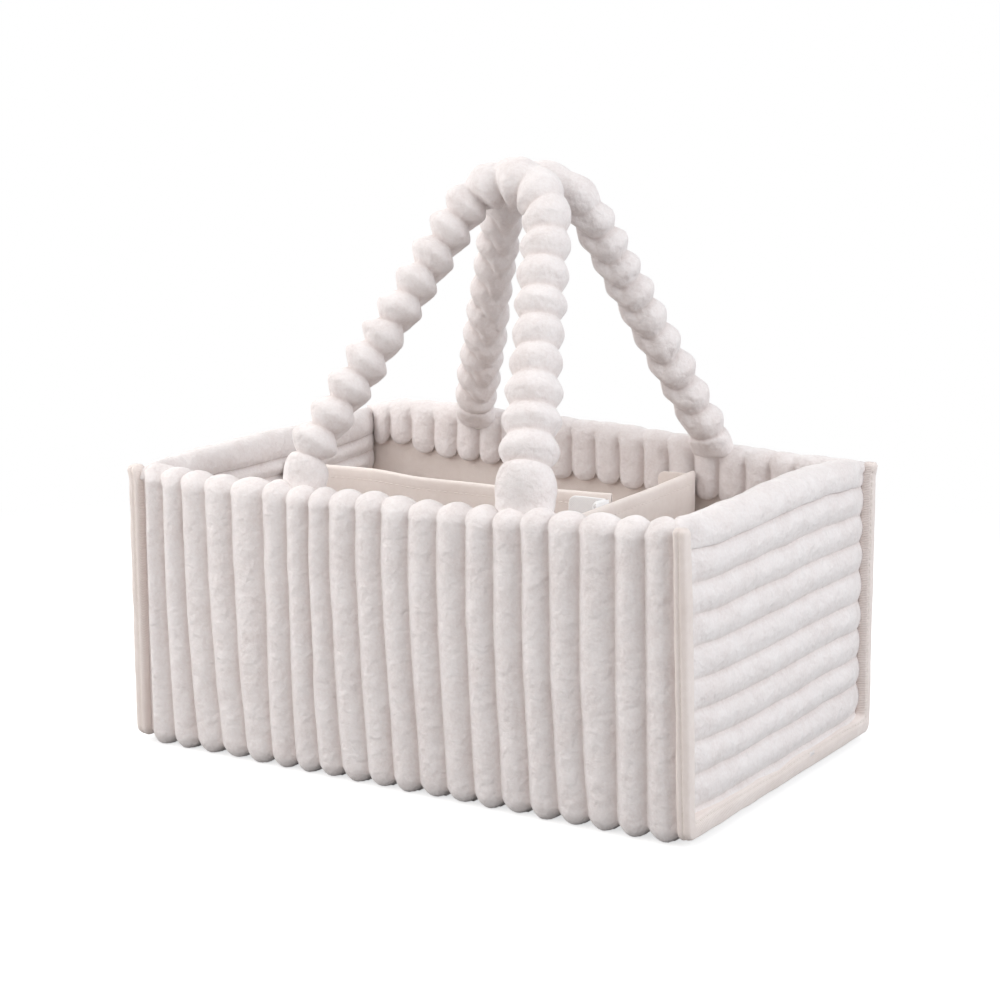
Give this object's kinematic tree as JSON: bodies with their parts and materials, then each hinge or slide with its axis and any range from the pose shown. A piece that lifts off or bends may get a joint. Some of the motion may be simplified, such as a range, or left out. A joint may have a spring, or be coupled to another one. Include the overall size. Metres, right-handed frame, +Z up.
{
  "type": "diaper caddy",
  "caption": "Open-top soft caddy of ribbed plush on stiffened walls, with beaded carry handles and removable canvas dividers.",
  "frame": {"origin": "on the floor, under the middle of the box", "axes": "+X along the length to the right end, +Y from the front wall to the back wall, +Z up"},
  "size_m": [0.38, 0.25, 0.3569],
  "materials": {
    "plush": "short dense pile",
    "canvas": "plain weave",
    "tape": "cotton twill tape",
    "foam": "closed-cell foam board",
    "stuffing": "loose fibre",
    "hook_tape": "woven nylon"
  },
  "bodies": {
    "shell": {"front_panel": "plush", "back_panel": "plush", "left_end_panel": "plush", "right_end_panel": "plush", "base_panel": "plush", "front_board": "foam", "back_board": "foam", "left_end_board": "foam", "right_end_board": "foam", "base_board": "foam", "front_lining": "canvas", "back_lining": "canvas", "left_end_lining": "canvas", "right_end_lining": "canvas", "base_lining": "canvas", "left_binding": "tape", "right_binding": "tape"},
    "front_handle": {"front_handle_cover": "plush", "front_handle_core": "stuffing"},
    "back_handle": {"back_handle_cover": "plush", "back_handle_core": "stuffing"},
    "long_divider": {"long_divider_cover": "canvas", "long_divider_core": "foam", "long_divider_left_tab": "canvas", "long_divider_right_tab": "hook_tape"},
    "cross_divider": {"cross_divider_cover": "canvas", "cross_divider_core": "foam", "cross_divider_front_tab": "canvas", "cross_divider_back_tab": "canvas", "cross_divider_loop_patch": "hook_tape"}
  },
  "joints": [
    {"name": "front_handle_swing", "type": "hinge", "parent": "shell", "child": "front_handle", "pos_m": [0, -0.11395, 0.16395], "axis": [1, 0, 0], "range_deg": [0, 118]},
    {"name": "back_handle_swing", "type": "hinge", "parent": "shell", "child": "back_handle", "pos_m": [0, 0.11395, 0.16395], "axis": [-1, 0, 0], "range_deg": [0, 118]},
    {"name": "long_divider_lift", "type": "slide", "parent": "shell", "child": "long_divider", "axis": [0, 0, 1], "range_m": [0, 0.165]},
    {"name": "cross_divider_slide", "type": "slide", "parent": "shell", "child": "cross_divider", "axis": [1, 0, 0], "range_m": [0, 0.085]}
  ]
}
